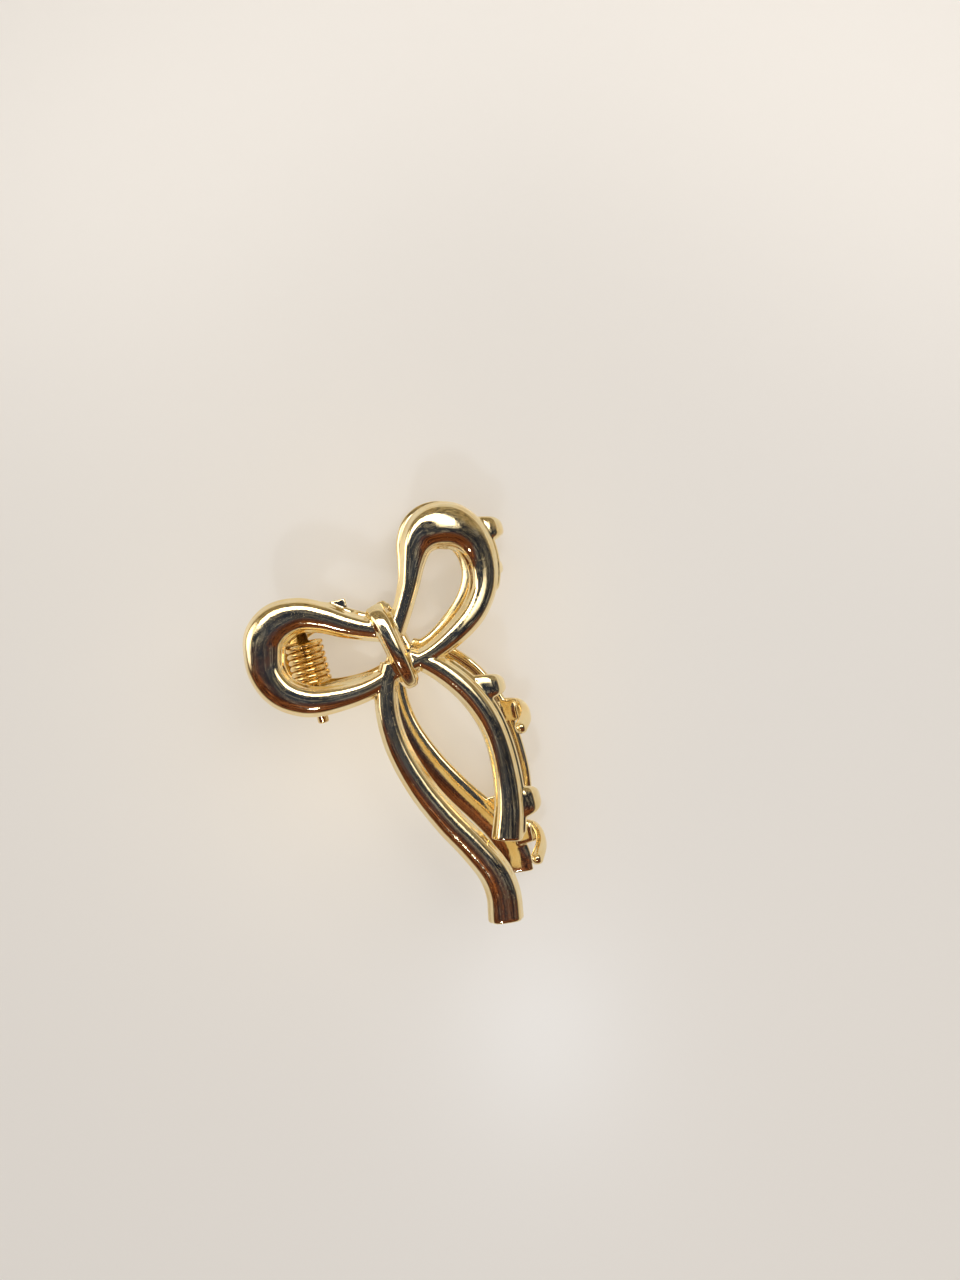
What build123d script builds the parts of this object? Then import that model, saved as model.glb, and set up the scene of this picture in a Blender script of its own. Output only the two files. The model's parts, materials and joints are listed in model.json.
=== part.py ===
from build123d import *
from math import atan2, cos, degrees, pi, radians, sin
import os

os.makedirs("parts", exist_ok=True)

# Bow claw clip, lying on its rear jaw. Units mm, Z up.
# Jaw coordinates: u from the hinge pin towards the teeth, v along the pin,
# w outwards from the pin. Each jaw is drawn in its own u, v, w and then placed.

# ---- driving dimensions ----
pin_turn = 14.4          # pin direction, degrees away from the Y axis
jaw_taper = 11.6         # angle between the closed jaws, they converge at the teeth
back_offset = 11.2       # pin axis to the inner face of a jaw
rear_bow_turn = 4.5      # rear bow is assembled turned about the pin centre
rear_tail_trim = 1.4     # rear long tail is this much shorter
arch_centre = 14.0       # middle of the flat part of the arched jaw
arch_flat = 9.0          # half width of that flat part
arch_radius = 60.0       # bend radius outside it

rim_wall = 0.5           # upright part of the rim
rim_top = 1.3            # height where the dome starts
rim_ledge = 0.65         # width of the sloping rim on each side
dome_rise = 0.62         # dome height over half its width
back_crown = 0.6         # crown of the inner face

pin_dia = 2.2
front_bore = 2.3         # running fit on the pin
rear_bore = 2.24
pin_end_low = -12.7
pin_head_dia = 3.4
pin_head_thick = 0.9

ear_thick = 1.8
front_ears = (8.8, -8.7)
rear_ears = (6.5, -6.5)
ear_nose = 2.5           # radius of an ear around the pin

wire_dia = 1.1
coil_dia = 6.5           # mean coil diameter
coil_turns = 7           # at most; the legs fix the part turn
coil_length = 8.4        # centre of first turn to centre of last turn
coil_middle = -0.4       # middle of the coil along the pin
leg_reach = 5.6          # how far the legs reach towards the handles
leg_gap = 1.2            # leg end centre to the inner face of the jaw

# ---- centre lines of the bow, (u, v, width) ----
handle_loop = [
    (17.0, 1.5, 4.3), (12.6, 3.1, 4.5), (8.9, 4.9, 5.1), (5.0, 7.2, 5.8),
    (1.0, 8.6, 6.7), (-3.0, 8.2, 7.9), (-5.8, 6.1, 8.2), (-6.8, 3.2, 7.9),
    (-7.1, 0.1, 7.4), (-6.1, -3.2, 6.9), (-4.1, -5.6, 6.4), (-0.5, -7.5, 5.9),
    (4.6, -8.1, 5.1), (10.0, -7.8, 4.4), (15.0, -6.3, 4.0), (18.5, -4.6, 3.9),
]
crown_loop = [
    (17.4, 1.0, 3.9), (20.1, 5.2, 3.8), (22.5, 9.5, 4.0), (24.1, 13.3, 4.9),
    (25.6, 16.2, 6.4), (27.9, 18.1, 8.3), (30.5, 18.7, 9.1), (33.2, 18.0, 9.1),
    (35.5, 15.8, 8.3), (36.8, 12.5, 7.0), (36.9, 8.6, 6.1), (35.7, 4.8, 5.5),
    (32.8, 1.1, 5.1), (28.1, -2.1, 4.5), (23.0, -4.4, 3.8), (18.0, -5.4, 3.8),
]
long_tail = [
    (15.4, -4.4, 4.2), (13.4, -8.5, 4.4), (12.4, -14.0, 4.5), (12.8, -20.5, 4.8),
    (15.0, -28.3, 5.3), (18.3, -35.6, 5.7), (21.9, -42.0, 6.0), (24.4, -47.4, 6.4),
    (25.1, -52.0, 6.7), (24.4, -57.2, 6.9),
]
short_tail = [
    (18.8, -3.6, 3.2), (23.9, -7.5, 4.5), (27.8, -12.6, 4.8), (30.3, -18.3, 4.8),
    (31.3, -24.1, 4.8), (31.2, -30.5, 5.2), (30.3, -36.4, 5.7), (28.5, -42.1, 6.2),
]
knot_band = [(15.0, 5.6), (15.5, 3.7), (16.2, 0.6), (16.9, -3.0), (17.5, -5.9), (17.9, -7.9)]
knot_lift = [0.5, 2.2, 2.7, 2.7, 2.1, 0.5]
knot_size = (3.0, 2.4)

# ---- teeth: root u, v, root length along the jaw, sideways lean of the tip ----
front_teeth = [(39.0, 16.3, 4.8, -1.2), (31.7, -13.2, 4.8, -1.6), (32.9, -36.4, 6.0, -1.4)]
rear_teeth = [(37.4, 9.4, 4.4, -1.4), (35.5, -20.0, 5.0, -3.2), (32.2, -45.4, 5.0, -3.8)]
tooth_bulge = 3.3        # how far a tooth swings outwards past the rim
tooth_past_middle = 1.6  # how far a tip passes the middle plane
tooth_tip_dia = 2.4


def fall(u):
    """Height of the arched inner face at u."""
    over = max(0.0, abs(u - arch_centre) - arch_flat)
    return back_offset - over * over / (2 * arch_radius)


def outward(u):
    """Direction square to the arched face at u."""
    over = max(0.0, abs(u - arch_centre) - arch_flat)
    slope = over / arch_radius * (1 if u > arch_centre else -1)
    return Vector(slope, 0, 1).normalized()


def bar(stations):
    """Domed bar with a rim, lofted along the arched face."""
    spots = [Vector(u, v, fall(u)) for u, v, width in stations]
    path = Spline(*spots)
    faces = []
    for spot, (u, v, width) in zip(spots, stations):
        along = path.tangent_at(path.param_at_point(spot))
        across = outward(u).cross(along)
        half = width / 2
        root = half - rim_ledge
        dome = dome_rise * root
        back = ThreePointArc((-half, 0), (0, -back_crown), (half, 0))
        right = Polyline((half, 0), (half, rim_wall), (root, rim_top))
        top = ThreePointArc((root, rim_top), (0, rim_top + dome), (-root, rim_top))
        left = Polyline((-root, rim_top), (-half, rim_wall), (-half, 0))
        faces.append(Plane(spot, across, along) * make_face([back, right, top, left]))
    return loft(faces)


def knot():
    """Ring of the bow knot, a rounded band wrapped over the crossing bars."""
    spots = [Vector(u, v, fall(u) + lift) for (u, v), lift in zip(knot_band, knot_lift)]
    path = Spline(*spots)
    faces = []
    for spot in spots:
        along = path.tangent_at(path.param_at_point(spot))
        faces.append(Plane(spot, x_dir=Vector(1, 0, 0) - along * along.X, z_dir=along)
                     * Ellipse(knot_size[0] / 2, knot_size[1] / 2))
    return loft(faces)


def tooth(u, v, length, lean):
    """Curved tapering finger that hooks over towards the other jaw."""
    top = fall(u)
    tip = u * sin(radians(jaw_taper / 2)) - tooth_past_middle
    drop = top - tip
    spots = [
        Vector(u - 1.6, v, top + 0.4),
        Vector(u + 0.58 * tooth_bulge, v + 0.08 * lean, top - 0.02 * drop),
        Vector(u + 0.97 * tooth_bulge, v + 0.25 * lean, top - 0.25 * drop),
        Vector(u + tooth_bulge, v + 0.55 * lean, top - 0.6 * drop),
        Vector(u + 0.6 * tooth_bulge, v + lean, tip),
    ]
    sizes = [(1.15 * length, 1.7), (0.9 * length, 1.8), (0.66 * length, 1.9), (2.3, 1.9), (1.6, 1.6)]
    path = Spline(*spots)
    faces = []
    for spot, (wide, thick) in zip(spots, sizes):
        along = path.tangent_at(path.param_at_point(spot))
        face = Plane(spot, x_dir=Vector(0, 1, 0) - along * along.Y, z_dir=along)
        faces.append(face * RectangleRounded(wide, thick, 0.42 * thick))
    return [loft(faces), Pos(*spots[-1]) * Sphere(tooth_tip_dia / 2)]


def rail(stations, first, last):
    """Low strip along the toothed edge, the teeth grow out of it."""
    spots = [Vector(u, v, fall(u)) for u, v, width in stations]
    path = Spline(*spots)
    edge = []
    for spot, (u, v, width) in list(zip(spots, stations))[first:last]:
        side = (path.tangent_at(path.param_at_point(spot)).cross(outward(u))).normalized()
        side = side if side.X > 0 else side * -1
        edge.append(spot + side * (width / 2 - 0.25))
    line = Spline(*edge)
    ring = Plane(edge[0], x_dir=Vector(0, 0, 1), z_dir=line % 0)
    return sweep(ring * Ellipse(0.85, 0.9), path=line)


def ear(v, bore):
    """Three cornered lug that carries the pin."""
    base = fall(0) + 0.5
    outline = Polyline((-2.7, base - 0.3), (-ear_nose, 1.0), (ear_nose, 1.0), (10.1, fall(10.1) - 0.2),
                       (10.1, fall(10.1) + 0.3), (-2.7, base - 0.3))
    plate = make_face(outline) + Circle(ear_nose)
    plate = Plane((0, v, 0), x_dir=(1, 0, 0), z_dir=(0, -1, 0)) * plate
    solid = extrude(plate, amount=ear_thick / 2, both=True)
    return solid - Pos(0, v, 0) * Rot(90, 0, 0) * Cylinder(bore / 2, 3 * ear_thick)


def web():
    """Small flat web that ties the short tail's end to the long tail."""
    corners = [(22.2, -39.0), (28.6, -39.0), (28.4, -43.0), (24.8, -45.0)]
    face = make_face(Polyline(*corners, close=True))
    return Pos(0, 0, fall(26.5) - 0.1) * extrude(face, amount=1.0)


def joined(shapes):
    """One solid from several that run into each other."""
    solids = [solid for shape in shapes for solid in shape.solids()]
    return Part(solids[0].fuse(*solids[1:]).wrapped)


def bow(trim):
    """Two loops, two tails and the knot; trim shortens the long tail."""
    u, v, width = long_tail[-1]
    tail = long_tail[:-1] + [(u + 0.1 * trim, v + trim, width)]
    return [bar(handle_loop), bar(crown_loop), bar(tail), bar(short_tail), knot(),
            rail(crown_loop, 8, 12), rail(short_tail, 1, 8), web()]


def jaw(bars, turn, ears, bore, teeth):
    """One cast jaw in its own coordinates, outer face up."""
    shapes = [Rot(0, 0, turn) * shape for shape in bars]
    shapes += [ear(v, bore) for v in ears]
    for u, v, length, lean in teeth:
        shapes += tooth(u, v, length, lean)
    return joined(shapes)


def hinge_pin():
    """Rivet pin: plain lower end, low round head at the top."""
    head_face = front_ears[0] + ear_thick / 2 + 0.1
    shank = Pos(0, (head_face + pin_end_low) / 2, 0) * Rot(90, 0, 0) * Cylinder(
        pin_dia / 2, head_face - pin_end_low)
    shank = chamfer(shank.edges().group_by(Axis.Y)[0], 0.3)
    head = Pos(0, head_face + pin_head_thick / 2, 0) * Rot(90, 0, 0) * Cylinder(
        pin_head_dia / 2, pin_head_thick)
    return shank + fillet(head.edges().group_by(Axis.Y)[-1], 0.5)


def torsion_spring():
    """Coil round the pin; each leg bears on the inner face of one handle."""
    radius = coil_dia / 2
    lean = radians(jaw_taper)
    rise = fall(-leg_reach) - leg_gap
    ends = [Vector(-leg_reach, coil_middle - coil_length / 2, -rise),
            Vector(rise * sin(lean) - leg_reach * cos(lean), coil_middle + coil_length / 2,
                   rise * cos(lean) + leg_reach * sin(lean))]
    reach = atan2((leg_reach ** 2 + rise ** 2 - radius ** 2) ** 0.5, radius)
    first = reach - atan2(ends[0].Z, ends[0].X)
    last = -reach - atan2(ends[1].Z, ends[1].X)
    while last + 2 * pi < first + 2 * pi * coil_turns:
        last += 2 * pi
    turns = (last - first) / (2 * pi)
    coil = Helix(coil_length / turns, coil_length, radius)
    coil = Pos(0, coil_middle - coil_length / 2, 0) * Rot(-90, 0, 0) * Rot(0, 0, degrees(first)) * coil
    wire = sweep(Plane(coil @ 0, z_dir=coil % 0) * Circle(wire_dia / 2), path=coil, is_frenet=True)
    legs = []
    for start, end in ((coil @ 0, ends[0]), (coil @ 1, ends[1])):
        line = (end - start).normalized()
        root = start - line * 0.25
        rod = Cylinder(wire_dia / 2 - 0.02, (end - root).length,
                       align=(Align.CENTER, Align.CENTER, Align.MIN))
        legs.append(Plane(root, z_dir=line) * rod)
    return joined([wire] + legs)


# ---- the four pieces, placed round the pin ----
front = jaw(bow(0), 0, front_ears, front_bore, front_teeth)
rear = mirror(jaw(bow(rear_tail_trim), rear_bow_turn, rear_ears, rear_bore, rear_teeth), about=Plane.XY)
pieces = {
    "front_jaw": Rot(0, jaw_taper, 0) * front,
    "rear_jaw": rear,
    "hinge_pin": hinge_pin(),
    "torsion_spring": torsion_spring(),
}
pieces = {name: Rot(0, 0, pin_turn) * piece for name, piece in pieces.items()}

# origin: middle of the base of the whole clip, lying on its rear jaw
box = Compound(children=list(pieces.values())).bounding_box()
to_base = Pos(-box.center().X, -box.center().Y, -box.min.Z)
for name, piece in pieces.items():
    placed = to_base * piece
    solid = placed.solids()[0]
    solid.label = name
    export_step(solid, f"parts/{name}.step")
    print(name, len(placed.solids()), placed.is_valid, round(solid.volume, 1))
print("pin centre", to_base.position, "size", box.size)
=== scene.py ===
"""Gold bow claw clip: the finished looks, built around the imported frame."""
import json
import math

import bpy
from mathutils import Matrix, Vector


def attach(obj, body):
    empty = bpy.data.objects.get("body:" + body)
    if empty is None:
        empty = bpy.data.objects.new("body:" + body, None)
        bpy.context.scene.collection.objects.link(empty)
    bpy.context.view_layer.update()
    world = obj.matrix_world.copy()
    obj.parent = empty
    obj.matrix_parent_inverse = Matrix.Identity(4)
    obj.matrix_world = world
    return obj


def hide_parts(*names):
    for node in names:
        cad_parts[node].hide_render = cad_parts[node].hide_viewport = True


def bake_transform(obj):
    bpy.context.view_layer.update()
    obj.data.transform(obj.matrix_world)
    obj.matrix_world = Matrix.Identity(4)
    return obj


MM = 0.001

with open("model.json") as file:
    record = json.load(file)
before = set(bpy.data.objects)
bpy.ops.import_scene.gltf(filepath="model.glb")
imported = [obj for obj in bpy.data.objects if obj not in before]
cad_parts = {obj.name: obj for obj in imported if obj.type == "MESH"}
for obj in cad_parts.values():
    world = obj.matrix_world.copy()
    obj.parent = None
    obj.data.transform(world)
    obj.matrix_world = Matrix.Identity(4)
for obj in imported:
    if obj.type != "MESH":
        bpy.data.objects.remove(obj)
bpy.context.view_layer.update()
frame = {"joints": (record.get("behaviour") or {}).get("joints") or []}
hinge = frame["joints"][0]
pin_centre = Vector(hinge["pos_m"]) / MM     # middle of the hinge pin, in mm
scene = bpy.context.scene

# ---- driving dimensions, mm: u from the pin to the teeth, v along the pin, w outwards ----
pin_turn = math.radians(14.4)
jaw_taper = math.radians(11.6)
rear_bow_turn = math.radians(4.5)
rear_tail_trim = 1.4
back_offset = 11.2
arch_centre = 14.0
arch_flat = 9.0
arch_radius = 60.0

rim_wall = 0.45
rim_top = 1.3
rim_ledge = 0.55
dome_rise = 0.54                             # dome height over half its width
dome_power = 0.86                            # under 1 makes the dome flatter on top
back_crown = 0.64                            # height of the elliptic inner face
edge_break = 0.1                             # worn corner of the rim

pin_dia = 2.2
pin_low_end = -12.7
pin_head_dia = 3.4
front_ears = (8.8, -8.7)
rear_ears = (6.5, -6.5)
ear_thick = 1.8
ear_nose = 2.5

wire_dia = 1.1
coil_radius = 3.25
coil_turns = 7
coil_length = 8.4
coil_middle = -0.4
leg_reach = 5.6
leg_gap = 1.2

voxel = 0.17                                 # grain of the fused castings
bar_step = 0.4                               # spacing of the sections along a bar
tail_end_radius = 0.5                        # rounding of the long tail's last edge
short_end_radius = 0.35
tail_end_reach = 0.45                        # the rounding starts this much before the tail's end
rail_thick = 1.8

# centre lines of the bow, (u, v, width)
handle_loop = [
    (17.0, 1.5, 4.3), (12.6, 3.1, 4.5), (8.9, 4.9, 5.1), (5.0, 7.2, 5.8),
    (1.0, 8.6, 6.7), (-3.0, 8.2, 7.9), (-5.8, 6.1, 8.2), (-6.8, 3.2, 7.9),
    (-7.1, 0.1, 7.4), (-6.1, -3.2, 6.9), (-4.1, -5.6, 6.4), (-0.5, -7.5, 5.9),
    (4.6, -8.1, 5.1), (10.0, -7.8, 4.4), (15.0, -6.3, 4.0), (18.5, -4.6, 3.9),
]
crown_loop = [
    (17.4, 1.0, 3.9), (20.1, 5.2, 3.8), (22.5, 9.5, 4.0), (24.1, 13.3, 4.9),
    (25.6, 16.2, 6.4), (27.9, 18.1, 8.3), (30.5, 18.7, 9.1), (33.2, 18.0, 9.1),
    (35.5, 15.8, 8.3), (36.8, 12.5, 7.0), (36.9, 8.6, 6.1), (35.7, 4.8, 5.5),
    (32.8, 1.1, 5.1), (28.1, -2.1, 4.5), (23.0, -4.4, 3.8), (18.0, -5.4, 3.8),
]
long_tail = [
    (15.4, -4.4, 4.2), (13.4, -8.5, 4.4), (12.4, -14.0, 4.5), (12.8, -20.5, 4.8),
    (15.0, -28.3, 5.3), (18.3, -35.6, 5.7), (21.9, -42.0, 6.0), (24.4, -47.4, 6.4),
    (25.1, -52.0, 6.7), (24.4, -57.2, 6.9),
]
short_tail = [
    (18.8, -3.6, 3.2), (23.9, -7.5, 4.5), (27.8, -12.6, 4.8), (30.3, -18.3, 4.8),
    (31.3, -24.1, 4.8), (31.2, -30.5, 5.2), (30.3, -36.4, 5.7), (28.5, -42.1, 6.2),
]
# knot ring, (u, v, width, lift over the arched face)
knot_band = [
    (15.0, 5.3, 4.8, -0.6), (15.3, 4.4, 4.5, 0.6), (15.7, 3.2, 4.1, 1.4), (16.2, 0.6, 3.8, 1.9),
    (16.9, -3.0, 3.7, 1.9), (17.5, -5.9, 3.6, 1.2), (17.9, -7.6, 3.6, 0.2), (18.1, -8.4, 3.4, -0.6),
]
# teeth: root u, v, root length along the jaw, sideways lean of the tip
front_teeth = [(39.0, 16.3, 4.8, -1.2), (31.7, -13.2, 4.8, -1.6), (32.9, -36.4, 6.0, -1.4)]
rear_teeth = [(37.4, 9.4, 4.4, -1.4), (35.5, -20.0, 5.0, -3.2), (32.2, -45.4, 5.0, -3.8)]
tooth_bulge = 3.3
tooth_past_middle = 1.6
tooth_tip = 1.2


# ---- placing ----
def front_place(u, v, w):
    """Row-frame point, in metres, of a point of the front jaw."""
    x = u * math.cos(jaw_taper) + w * math.sin(jaw_taper)
    z = w * math.cos(jaw_taper) - u * math.sin(jaw_taper)
    turned = Matrix.Rotation(pin_turn, 3, "Z") @ Vector((x, v, z))
    return (pin_centre + turned) * MM


def rear_place(u, v, w):
    """Row-frame point, in metres, of a point of the rear jaw or the pin."""
    turned = Matrix.Rotation(pin_turn, 3, "Z") @ Vector((u, v, -w))
    return (pin_centre + turned) * MM


def pin_place(u, v, w):
    """Row-frame point, in metres, of a point given about the middle of the pin."""
    return (pin_centre + Matrix.Rotation(pin_turn, 3, "Z") @ Vector((u, v, w))) * MM


def rear_bow_place(u, v, w):
    """Like rear_place, for the bow, which is assembled turned about the pin centre."""
    x = u * math.cos(rear_bow_turn) - v * math.sin(rear_bow_turn)
    y = u * math.sin(rear_bow_turn) + v * math.cos(rear_bow_turn)
    return rear_place(x, y, w)


# ---- shapes in jaw coordinates: each is (points, faces) ----
def fall(u):
    """Height of the arched inner face at u."""
    over = max(0.0, abs(u - arch_centre) - arch_flat)
    return back_offset - over * over / (2 * arch_radius)


def outward(u):
    """Direction square to the arched face at u."""
    over = max(0.0, abs(u - arch_centre) - arch_flat)
    slope = over / arch_radius * (1 if u > arch_centre else -1)
    return Vector((slope, 0, 1)).normalized()


def smooth_line(stations, step):
    """Stations joined by a smooth curve and resampled about every step mm."""
    rows = [Vector(row) for row in stations]
    times = [0.0]
    for a, b in zip(rows, rows[1:]):
        times.append(times[-1] + (b - a).length)
    slopes = []
    for i in range(len(rows)):
        low, high = max(i - 1, 0), min(i + 1, len(rows) - 1)
        slopes.append((rows[high] - rows[low]) / (times[high] - times[low]))
    line = []
    for i in range(len(rows) - 1):
        gap = times[i + 1] - times[i]
        count = max(2, round(gap / step))
        for k in range(count):
            t = k / count
            start = rows[i] * (2 * t ** 3 - 3 * t ** 2 + 1)
            leaving = slopes[i] * gap * (t ** 3 - 2 * t ** 2 + t)
            end = rows[i + 1] * (3 * t ** 2 - 2 * t ** 3)
            arriving = slopes[i + 1] * gap * (t ** 3 - t ** 2)
            line.append(start + leaving + end + arriving)
    return line + [rows[-1]]


def sweep(centres, sides, sections):
    """Closed skin through one section per centre; a section's x runs along side."""
    points, faces = [], []
    size = len(sections[0])
    last = len(centres) - 1
    for i, centre in enumerate(centres):
        along = (centres[min(i + 1, last)] - centres[max(i - 1, 0)]).normalized()
        across = (sides[i] - along * sides[i].dot(along)).normalized()
        rise = along.cross(across)
        points += [centre + across * x + rise * y for x, y in sections[i]]
    for i in range(last):
        for k in range(size):
            a, b = i * size + k, i * size + (k + 1) % size
            faces.append((a, b, b + size, a + size))
    faces.append(tuple(reversed(range(size))))
    faces.append(tuple(range(last * size, (last + 1) * size)))
    return points, faces


def domed_section(width, depth):
    """Crowned back, upright wall, sloping rim and flattened dome; depth is the wall under it."""
    half = width / 2
    root = half - rim_ledge
    outline = []
    for k in range(13):
        x = -1 + k / 6
        outline.append((x * half, -depth - back_crown * math.sqrt(1 - x * x)))
    corner = (half - edge_break, rim_wall + 1.8 * edge_break)
    foot = (root + 0.04, rim_top - 0.06)
    outline += [(half, rim_wall), corner, foot]
    for k in range(25):
        angle = math.pi * k / 24
        c, s = math.cos(angle), math.sin(angle)
        outline.append((root * math.copysign(abs(c) ** dome_power, c),
                        rim_top + dome_rise * root * max(s, 0.0) ** dome_power))
    return outline + [(-foot[0], foot[1]), (-corner[0], corner[1]), (-half, rim_wall)]


def bar(stations, end_radius=0.0):
    """Domed bar of the bow, following the arched face; end_radius rounds its last edge."""
    line = smooth_line(stations, bar_step)
    centres = [Vector((u, v, fall(u))) for u, v, width in line]
    sides = []
    for i, centre in enumerate(centres):
        along = centres[min(i + 1, len(centres) - 1)] - centres[max(i - 1, 0)]
        sides.append(outward(centre.x).cross(along.normalized()))
    sections = [domed_section(width, 0) for u, v, width in line]
    heading = (centres[-1] - centres[-2]).normalized()
    start, half, outline = centres[-1], line[-1].z / 2, sections[-1]
    steps = 6 if end_radius else 0
    middle = 1.2                             # height of the bar's middle over its back
    for k in range(1, steps + 1):
        angle = math.pi / 2 * k / steps
        inset = end_radius * (1 - math.cos(angle))
        narrow, low = 1 - inset / half, 1 - inset / 1.5
        centres.append(start + heading * end_radius * math.sin(angle))
        sides.append(sides[-1])
        sections.append([(x * narrow, middle + (y - middle) * low) for x, y in outline])
    return sweep(centres, sides, sections)


def knot():
    """Ring of the bow knot: the same domed strip, wrapped over the crossing bars."""
    line = smooth_line(knot_band, 0.25)
    centres = [Vector((u, v, fall(u) + lift)) for u, v, width, lift in line]
    across = Vector((1, 0.16, 0))
    sections = [domed_section(width, 0.8 * (0.4 + max(0.0, lift))) for u, v, width, lift in line]
    return sweep(centres, [across] * len(centres), sections)


def rounded(wide, thick):
    """Superelliptic outline between an ellipse and a rectangle."""
    outline = []
    for k in range(28):
        angle = 2 * math.pi * k / 28
        c, s = math.cos(angle), math.sin(angle)
        x = wide / 2 * math.copysign(abs(c) ** 0.7, c)
        y = thick / 2 * math.copysign(abs(s) ** 0.7, s)
        outline.append((x, y))
    return outline


def tooth(u, v, length, lean):
    """Curved tapering finger with a rounded end, hooking over towards the other jaw."""
    top = fall(u)
    tip = u * math.sin(jaw_taper / 2) - tooth_past_middle
    drop = top - tip
    stations = [
        (u - 1.6, v, top + 0.4, 1.15 * length, 1.7),
        (u + 0.58 * tooth_bulge, v + 0.08 * lean, top - 0.02 * drop, 0.9 * length, 1.8),
        (u + 0.97 * tooth_bulge, v + 0.25 * lean, top - 0.25 * drop, 0.66 * length, 1.95),
        (u + tooth_bulge, v + 0.55 * lean, top - 0.6 * drop, 2.5, 2.05),
        (u + 0.6 * tooth_bulge, v + lean, tip, 2 * tooth_tip, 2 * tooth_tip),
    ]
    line = smooth_line(stations, 0.3)
    end = line[-1]
    heading = Vector((end - line[-2])[:3]).normalized()
    for k in range(1, 8):
        angle = math.pi / 2 * k / 8
        size = 2 * tooth_tip * math.cos(angle)
        line.append(Vector((*(Vector(end[:3]) + heading * tooth_tip * math.sin(angle)), size, size)))
    centres = [Vector(row[:3]) for row in line]
    return sweep(centres, [Vector((0, 1, 0))] * len(line), [rounded(row[3], row[4]) for row in line])


def rail(stations, first, last):
    """Low rounded strip along the toothed edge."""
    line = smooth_line(stations[first:last], bar_step)
    centres = []
    for i, (u, v, width) in enumerate(line):
        a, b = line[max(i - 1, 0)], line[min(i + 1, len(line) - 1)]
        along = Vector((b[0] - a[0], b[1] - a[1], fall(b[0]) - fall(a[0]))).normalized()
        side = along.cross(outward(u))
        side = side if side.x > 0 else -side
        centres.append(Vector((u, v, fall(u))) + side * (width / 2 - 0.25))
    fade = [min(1.0, 0.35 + 0.2 * min(i, len(line) - 1 - i)) for i in range(len(line))]
    sections = [rounded((rail_thick - 0.1) * f, rail_thick * f) for f in fade]
    return sweep(centres, [Vector((0, 0, 1))] * len(line), sections)


def plate(outline, hole, thick, stand):
    """Flat plate from a closed outline, with an optional hole of that radius; stand places its points."""
    curve = bpy.data.curves.new("plate", "CURVE")
    curve.dimensions = "2D"
    curve.fill_mode = "BOTH"
    curve.extrude = thick / 2
    rings = [outline]
    if hole:
        angles = [k * math.pi / 24 for k in range(48)]
        rings.append([(hole * math.cos(a), hole * math.sin(a)) for a in angles])
    for ring in rings:
        spline = curve.splines.new("POLY")
        spline.points.add(len(ring) - 1)
        for point, (x, y) in zip(spline.points, ring):
            point.co = (x, y, 0, 1)
        spline.use_cyclic_u = True
    made = bpy.data.objects.new("plate", curve)
    mesh = bpy.data.meshes.new_from_object(made)
    points = [stand(*vertex.co) for vertex in mesh.vertices]
    faces = [tuple(face.vertices) for face in mesh.polygons]
    bpy.data.objects.remove(made)
    bpy.data.meshes.remove(mesh)
    return points, faces


def ear(v, bore):
    """Three cornered lug that carries the pin, with a round nose."""
    base = fall(0) + 0.5
    nose = [(ear_nose * math.cos(a), ear_nose * math.sin(a))
            for a in (math.pi + 0.4 + k * (math.pi - 0.8) / 16 for k in range(17))]
    outline = [(-2.7, base - 0.3), *nose, (ear_nose, 1.0), (10.1, fall(10.1) - 0.2),
               (10.1, fall(10.1) + 0.3)]
    return plate(outline, bore / 2, ear_thick, lambda x, y, z: Vector((x, v + z, y)))


def web():
    """Small flat web that ties the short tail's end to the long tail."""
    corners = [(22.2, -39.0), (28.2, -39.0), (28.4, -43.0), (24.8, -45.0)]
    height = fall(26.5) + 0.5
    return plate(corners, None, 1.2, lambda x, y, z: Vector((x, y, height + z)))


# ---- meshes ----
def new_object(name, shapes):
    """One mesh object from placed shapes, each (points, faces)."""
    points, faces = [], []
    for shape_points, shape_faces in shapes:
        base = len(points)
        points += [tuple(p) for p in shape_points]
        faces += [tuple(base + k for k in face) for face in shape_faces]
    mesh = bpy.data.meshes.new(name)
    mesh.from_pydata(points, [], faces)
    mesh.update()
    made = bpy.data.objects.new(name, mesh)
    scene.collection.objects.link(made)
    return made


def placed(shape, place):
    """A shape moved from jaw coordinates into the row frame."""
    points, faces = shape
    return [place(*p) for p in points], faces


def apply_modifiers(piece):
    """Replace the piece's mesh by what its modifiers make of it."""
    evaluated = piece.evaluated_get(bpy.context.evaluated_depsgraph_get())
    final = bpy.data.meshes.new_from_object(evaluated)
    piece.modifiers.clear()
    piece.data = final


def casting(name, bow_shapes, other_shapes, bow_place, place):
    """One fused casting with softened edges and small fillets where bars meet."""
    shapes = [placed(s, bow_place) for s in bow_shapes] + [placed(s, place) for s in other_shapes]
    piece = new_object(name, shapes)
    remesh = piece.modifiers.new("fuse", "REMESH")
    remesh.mode = "VOXEL"
    remesh.voxel_size = voxel * MM
    remesh.use_smooth_shade = True
    soften = piece.modifiers.new("soften", "SMOOTH")
    soften.factor = 0.5
    soften.iterations = 5
    apply_modifiers(piece)
    return piece


def bow(trim):
    """Two loops, two tails, the knot and the rails; trim shortens the long tail."""
    u, v, width = long_tail[-1]
    tail = long_tail[:-1] + [(u + 0.1 * trim, v + trim + tail_end_reach, width)]
    return [bar(handle_loop), bar(crown_loop), bar(tail, tail_end_radius),
            bar(short_tail, short_end_radius), knot(), rail(crown_loop, 8, 12), rail(short_tail, 1, 8)]


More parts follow.
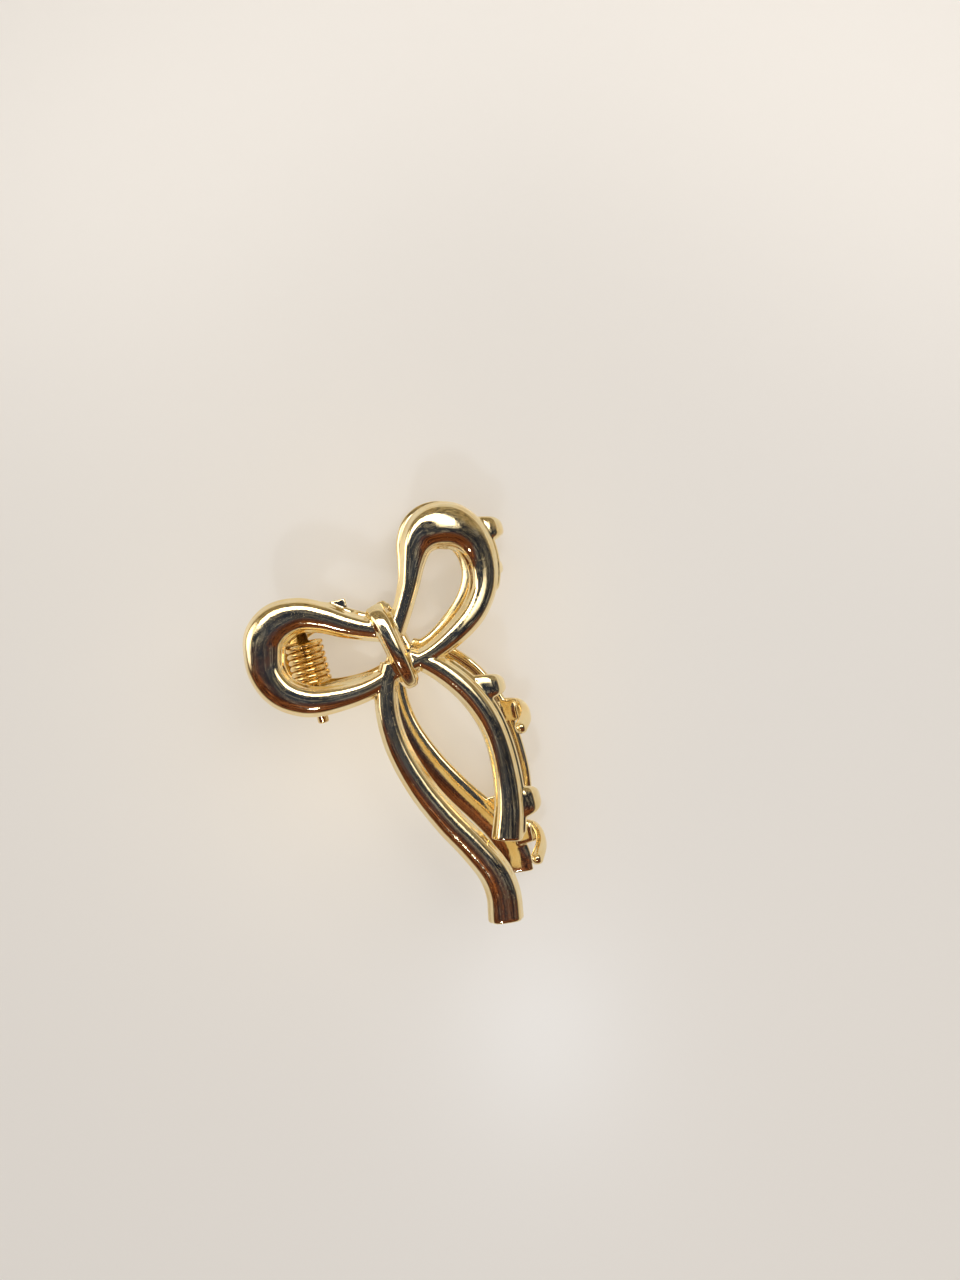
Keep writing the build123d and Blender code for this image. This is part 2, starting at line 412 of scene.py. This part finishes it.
def turned_piece(name, profile, place, steps=48):
    """Round piece about the pin line from (v, radius) stations."""
    points, faces = [], []
    for v, radius in profile:
        for k in range(steps):
            angle = 2 * math.pi * k / steps
            points.append(place(radius * math.cos(angle), v, radius * math.sin(angle)))
    for i in range(len(profile) - 1):
        for k in range(steps):
            a, b = i * steps + k, i * steps + (k + 1) % steps
            faces.append((a, a + steps, b + steps, b))
    faces.append(tuple(range(steps)))
    faces.append(tuple(reversed(range((len(profile) - 1) * steps, len(profile) * steps))))
    return new_object(name, [(points, faces)])


def hinge_pin():
    """Rivet: shank, domed head at the upper end, rounded peened lower end."""
    radius, head = pin_dia / 2, pin_head_dia / 2
    low, face = pin_low_end, front_ears[0] + ear_thick / 2 + 0.1
    profile = [(low, 0.35 * radius), (low + 0.04, 0.6 * radius), (low + 0.12, 0.8 * radius),
               (low + 0.25, 0.93 * radius), (low + 0.42, radius), (face, radius), (face, head - 0.08),
               (face + 0.08, head), (face + 0.38, head)]
    for k in range(1, 9):
        angle = math.pi / 2 * k / 9
        profile.append((face + 0.38 + 0.52 * math.sin(angle), head * math.cos(angle)))
    return turned_piece("rivet_pin", profile, rear_place)


def torsion_spring():
    """Wire coil round the pin, a bent leg at each end pressing on a handle."""
    lean = jaw_taper
    rise = fall(-leg_reach) - leg_gap
    low = Vector((-leg_reach, coil_middle - coil_length / 2, -rise))
    high = Vector((rise * math.sin(lean) - leg_reach * math.cos(lean),
                   coil_middle + coil_length / 2,
                   rise * math.cos(lean) + leg_reach * math.sin(lean)))
    reach = math.acos(coil_radius / math.hypot(leg_reach, rise))
    first = reach - math.atan2(low.z, low.x)
    last = -reach - math.atan2(high.z, high.x)
    while last + 2 * math.pi < first + 2 * math.pi * coil_turns:
        last += 2 * math.pi
    count = 64 * coil_turns
    coil = []
    for k in range(count + 1):
        angle = -(first + (last - first) * k / count)
        coil.append(Vector((coil_radius * math.cos(angle),
                            coil_middle + coil_length * (k / count - 0.5),
                            coil_radius * math.sin(angle))))
    start_leg = [low.lerp(coil[0], k / 20) for k in range(20)]
    end_leg = [coil[-1].lerp(high, k / 20) for k in range(1, 21)]
    line = start_leg + coil + end_leg
    half = wire_dia / 2
    ring = [(half * math.cos(k * math.pi / 10), half * math.sin(k * math.pi / 10)) for k in range(20)]
    sections = []
    for i in range(len(line)):
        near = min(i, len(line) - 1 - i)
        size = (0.55, 0.85, 0.97)[near] if near < 3 else 1.0
        sections.append([(x * size, y * size) for x, y in ring])
    wire = sweep(line, [Vector((0, 1, 0))] * len(line), sections)
    return new_object("coil_spring", [placed(wire, pin_place)])


# ---- node helpers ----
def put(tree, kind, **values):
    """Add a shader node; set its attributes, or its inputs where the name is an input's."""
    node = tree.nodes.new(kind)
    for key, value in values.items():
        if hasattr(node, key):
            setattr(node, key, value)
        else:
            node.inputs[key].default_value = value
    return node


def ramp(tree, stops, factor):
    """Colour ramp through (position, colour) stops."""
    node = tree.nodes.new("ShaderNodeValToRGB")
    elements = node.color_ramp.elements
    while len(elements) < len(stops):
        elements.new(0.5)
    for element, (position, colour) in zip(elements, stops):
        element.position = position
        element.color = (*colour, 1)
    tree.links.new(factor, node.inputs["Fac"])
    return node.outputs["Color"]


def noise(tree, place, scale, detail, distortion=0.0):
    """Noise over the coordinates."""
    node = put(tree, "ShaderNodeTexNoise", Scale=scale, Detail=detail, Distortion=distortion)
    tree.links.new(place, node.inputs["Vector"])
    return node.outputs["Fac"]


def stretched(tree, place, scale, turn=0.0):
    """Coordinates scaled per axis and turned about Z."""
    node = put(tree, "ShaderNodeMapping")
    node.inputs["Scale"].default_value = scale
    node.inputs["Rotation"].default_value = (0, 0, turn)
    tree.links.new(place, node.inputs["Vector"])
    return node.outputs[0]


def scaled(tree, value, gain, offset):
    """value * gain + offset, clamped to 0..1."""
    node = put(tree, "ShaderNodeMath", operation="MULTIPLY_ADD", use_clamp=True)
    tree.links.new(value, node.inputs[0])
    node.inputs[1].default_value = gain
    node.inputs[2].default_value = offset
    return node.outputs[0]


def wavered(tree, value, waver, gain):
    """value + waver * gain."""
    node = put(tree, "ShaderNodeMath", operation="MULTIPLY_ADD")
    tree.links.new(waver, node.inputs[0])
    node.inputs[1].default_value = gain
    tree.links.new(value, node.inputs[2])
    return node.outputs[0]


def product(tree, a, b):
    """a * b."""
    node = put(tree, "ShaderNodeMath", operation="MULTIPLY")
    tree.links.new(a, node.inputs[0])
    tree.links.new(b, node.inputs[1])
    return node.outputs[0]


def blend_colour(tree, factor, low, high):
    """Colour from low to high by factor."""
    node = put(tree, "ShaderNodeMix", data_type="RGBA")
    tree.links.new(factor, node.inputs[0])
    for socket, colour in ((node.inputs[6], low), (node.inputs[7], high)):
        if isinstance(colour, tuple):
            socket.default_value = (*colour, 1)
        else:
            tree.links.new(colour, socket)
    return node.outputs[2]


# ---- camera, studio and table ----
def make_camera():
    """Camera nearly overhead, a little to the teeth side."""
    data = bpy.data.cameras.new("camera")
    data.sensor_width = 36
    data.lens = 26
    data.clip_start = 0.01
    camera = bpy.data.objects.new("camera", data)
    camera.location = (pin_centre + Vector((45.79, 12.06, 180.01))) * MM
    camera.rotation_euler = (math.radians(-2.478), math.radians(3.71), 0)
    scene.collection.objects.link(camera)
    scene.camera = camera


def ceiling(tree, place, up, streaks):
    """Pale walls low down, dark blue overhead with a few pale glimmers."""
    height = wavered(tree, up, noise(tree, place, 2.2, 3.0), 0.22)
    colour = ramp(tree, [(0.08, (0.95, 0.89, 0.80)), (0.20, (0.62, 0.54, 0.43)), (0.32, (0.22, 0.18, 0.14)),
                         (0.46, (0.034, 0.038, 0.060)), (0.90, (0.012, 0.015, 0.030)),
                         (1.0, (0.026, 0.034, 0.066))], height)
    glimmer = ramp(tree, [(0.52, (0, 0, 0)), (0.70, (1, 1, 1))], streaks)
    amount = product(tree, glimmer, scaled(tree, up, 2.0, -0.4))
    return blend_colour(tree, amount, colour, (0.42, 0.42, 0.46))


def near_wood(tree, place, along, up, behind):
    """Red brown grained wood above the near side."""
    grain = noise(tree, stretched(tree, place, (2.0, 16.0, 9.0)), 1.6, 4.0)
    wood = ramp(tree, [(0.42, (0.010, 0.005, 0.006)), (0.50, (0.10, 0.034, 0.018)),
                       (0.62, (0.30, 0.110, 0.050))], grain)
    amount = product(tree, scaled(tree, along, -4.5, -0.35), scaled(tree, up, 3.0, -0.45))
    return blend_colour(tree, amount, behind, wood)


def far_shelf(tree, across, along, up, streaks, behind):
    """Gold brown shelf along the far side and the left."""
    shelf = ramp(tree, [(0.40, (0.10, 0.08, 0.055)), (0.52, (0.34, 0.27, 0.17)),
                        (0.62, (0.52, 0.44, 0.30))], streaks)
    above_table = scaled(tree, up, 9.0, -1.2)
    far = product(tree, scaled(tree, along, 5.0, -1.0), scaled(tree, up, -7.0, 5.2))
    colour = blend_colour(tree, product(tree, far, above_table), behind, shelf)
    left = product(tree, product(tree, scaled(tree, across, -6.0, -1.8), scaled(tree, along, 5.0, 0.4)),
                   product(tree, above_table, scaled(tree, up, -7.0, 6.0)))
    return blend_colour(tree, left, colour, shelf)


def bright_arc(tree, place, along, up, behind):
    """Long window high on the far side."""
    height = wavered(tree, up, noise(tree, place, 3.5, 2.0), 0.05)
    band = product(tree, scaled(tree, height, 22.0, -16.6), scaled(tree, height, -45.0, 42.2))
    amount = product(tree, band, scaled(tree, along, 3.5, -0.35))
    return blend_colour(tree, amount, behind, (6.0, 5.7, 5.3))


def left_patch(tree, place, behind):
    """Bright patch on the left wall."""
    toward = put(tree, "ShaderNodeVectorMath", operation="DOT_PRODUCT")
    tree.links.new(place, toward.inputs[0])
    toward.inputs[1].default_value = (-0.86, 0.10, 0.50)
    return blend_colour(tree, scaled(tree, toward.outputs["Value"], 16.0, -14.9), behind, (3.2, 3.0, 2.7))


def make_world():
    """Studio seen in the gold; the table gets an even light and the backdrop is plain."""
    world = bpy.data.worlds.new("studio")
    scene.world = world
    world.use_nodes = True
    world.cycles.sampling_method = "NONE"
    tree = world.node_tree
    tree.nodes.clear()
    place = put(tree, "ShaderNodeTexCoord").outputs["Generated"]
    split = put(tree, "ShaderNodeSeparateXYZ")
    tree.links.new(place, split.inputs[0])
    across, along, up = split.outputs["X"], split.outputs["Y"], split.outputs["Z"]
    streaks = noise(tree, place, 11.0, 5.0)
    colour = ceiling(tree, place, up, streaks)
    colour = near_wood(tree, place, along, up, colour)
    colour = far_shelf(tree, across, along, up, streaks, colour)
    colour = bright_arc(tree, place, along, up, colour)
    colour = left_patch(tree, place, colour)
    path = put(tree, "ShaderNodeLightPath")
    on_table = scaled(tree, path.outputs["Diffuse Depth"], 1.0, 0.0)
    colour = blend_colour(tree, on_table, colour, (0.36, 0.35, 0.34))
    colour = blend_colour(tree, path.outputs["Is Camera Ray"], colour, (0.80, 0.77, 0.73))
    light = put(tree, "ShaderNodeBackground", Strength=1.0)
    tree.links.new(colour, light.inputs["Color"])
    out = put(tree, "ShaderNodeOutputWorld")
    tree.links.new(light.outputs[0], out.inputs["Surface"])


def softbox(name, place, size, power, colour, in_reflections=True, shadows=True):
    """Rectangular area light at a place in metres from the pin, aimed at the pin."""
    data = bpy.data.lights.new(name, "AREA")
    data.shape = "RECTANGLE"
    data.size, data.size_y = size
    data.energy = power
    data.color = colour
    lamp = bpy.data.objects.new(name, data)
    lamp.location = pin_centre * MM + Vector(place)
    lamp.rotation_euler = Vector(place).to_track_quat("Z", "Y").to_euler()
    lamp.visible_glossy = in_reflections
    data.use_shadow = shadows
    scene.collection.objects.link(lamp)


def make_floor():
    """Plain pale table top, faintly glossy."""
    mesh = bpy.data.meshes.new("table_top")
    reach = 3.0
    mesh.from_pydata([(-reach, -reach, 0), (reach, -reach, 0), (reach, reach, 0), (-reach, reach, 0)],
                     [], [(0, 1, 2, 3)])
    floor = bpy.data.objects.new("table_top", mesh)
    scene.collection.objects.link(floor)
    material = bpy.data.materials.new("table_white")
    material.use_nodes = True
    shader = material.node_tree.nodes["Principled BSDF"]
    shader.inputs["Base Color"].default_value = (0.84, 0.80, 0.75, 1)
    shader.inputs["Roughness"].default_value = 0.3
    mesh.materials.append(material)


# ---- gold ----
def gold(name, colour, roughness, peel_depth):
    """Polished plate: slight swell, crinkled patches, fine scratches, haze and warm stains."""
    material = bpy.data.materials.new(name)
    material.use_nodes = True
    tree = material.node_tree
    shader = tree.nodes["Principled BSDF"]
    shader.inputs["Metallic"].default_value = 1
    place = put(tree, "ShaderNodeTexCoord").outputs["Object"]

    stain = noise(tree, place, 240.0, 4.0)
    warm = tuple(c * f for c, f in zip(colour, (0.97, 0.90, 0.78)))
    tree.links.new(ramp(tree, [(0.38, warm), (0.62, colour)], stain), shader.inputs["Base Color"])

    rough = put(tree, "ShaderNodeMapRange")
    rough.inputs["From Min"].default_value = 0.35
    rough.inputs["From Max"].default_value = 0.7
    rough.inputs["To Min"].default_value = roughness * 0.6
    rough.inputs["To Max"].default_value = roughness * 2.0
    tree.links.new(noise(tree, place, 1100.0, 5.0), rough.inputs["Value"])
    tree.links.new(rough.outputs[0], shader.inputs["Roughness"])

    swell = noise(tree, place, 420.0, 1.0)
    crinkle = noise(tree, place, 950.0, 2.0, 2.2)
    patches = scaled(tree, noise(tree, place, 95.0, 1.0), 6.0, -3.0)
    scratches = noise(tree, stretched(tree, place, (1.0, 0.12, 1.0), 0.35), 5200.0, 2.0)
    normal = None
    for height, depth in ((swell, 1.2), (product(tree, crinkle, patches), 1.6), (scratches, 0.35)):
        bump = put(tree, "ShaderNodeBump", Strength=1.0, Distance=depth * peel_depth * MM)
        tree.links.new(height, bump.inputs["Height"])
        if normal:
            tree.links.new(normal, bump.inputs["Normal"])
        normal = bump.outputs["Normal"]
    tree.links.new(normal, shader.inputs["Normal"])
    return material


def finish_piece(piece, material, body, node):
    """Material, smooth shading, the body it rides on and the solid it stands for."""
    piece.data.materials.clear()
    piece.data.materials.append(material)
    piece.data.shade_smooth()
    if body:
        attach(piece, body)
    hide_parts(node)


make_camera()
make_world()
make_floor()
softbox("glint", (0.05, -0.42, 0.72), (0.05, 0.05), 0.5, (0.75, 0.86, 1.0))
softbox("fill", (0.55, 0.45, 0.80), (0.7, 0.7), 2.4, (1.0, 0.95, 0.90), in_reflections=False)
softbox("overhead", (0.0, 0.0, 1.0), (1.2, 1.2), 5.1, (1.0, 0.98, 0.94),
        in_reflections=False, shadows=False)
softbox("warm_bounce", (0.016, -0.010, 0.03), (0.03, 0.03), 0.006, (1.0, 0.80, 0.45),
        in_reflections=False, shadows=False)
scene.view_settings.view_transform = "Standard"

plate_gold = gold("cast_gold", (0.96, 0.82, 0.50), 0.075, 0.012)
pin_gold = gold("rivet_gold", (0.90, 0.72, 0.40), 0.12, 0.003)
wire_gold = gold("spring_gold", (0.93, 0.70, 0.33), 0.09, 0.003)

ear_bore = pin_dia + 0.1
front_fittings = [ear(v, ear_bore) for v in front_ears] + [tooth(*t) for t in front_teeth]
front = casting("front_casting", bow(0), front_fittings, front_place, front_place)
finish_piece(front, plate_gold, "front", "front_jaw")
rear_fittings = [ear(v, ear_bore) for v in rear_ears] + [tooth(*t) for t in rear_teeth]
rear = casting("rear_casting", bow(rear_tail_trim) + [web()], rear_fittings, rear_bow_place, rear_place)
finish_piece(rear, plate_gold, "rear", "rear_jaw")
finish_piece(hinge_pin(), pin_gold, "rear", "hinge_pin")

spring = torsion_spring()
finish_piece(spring, wire_gold, None, "torsion_spring")
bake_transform(spring)

for piece in (front, rear):
    print(piece.name, len(piece.data.polygons), "faces")
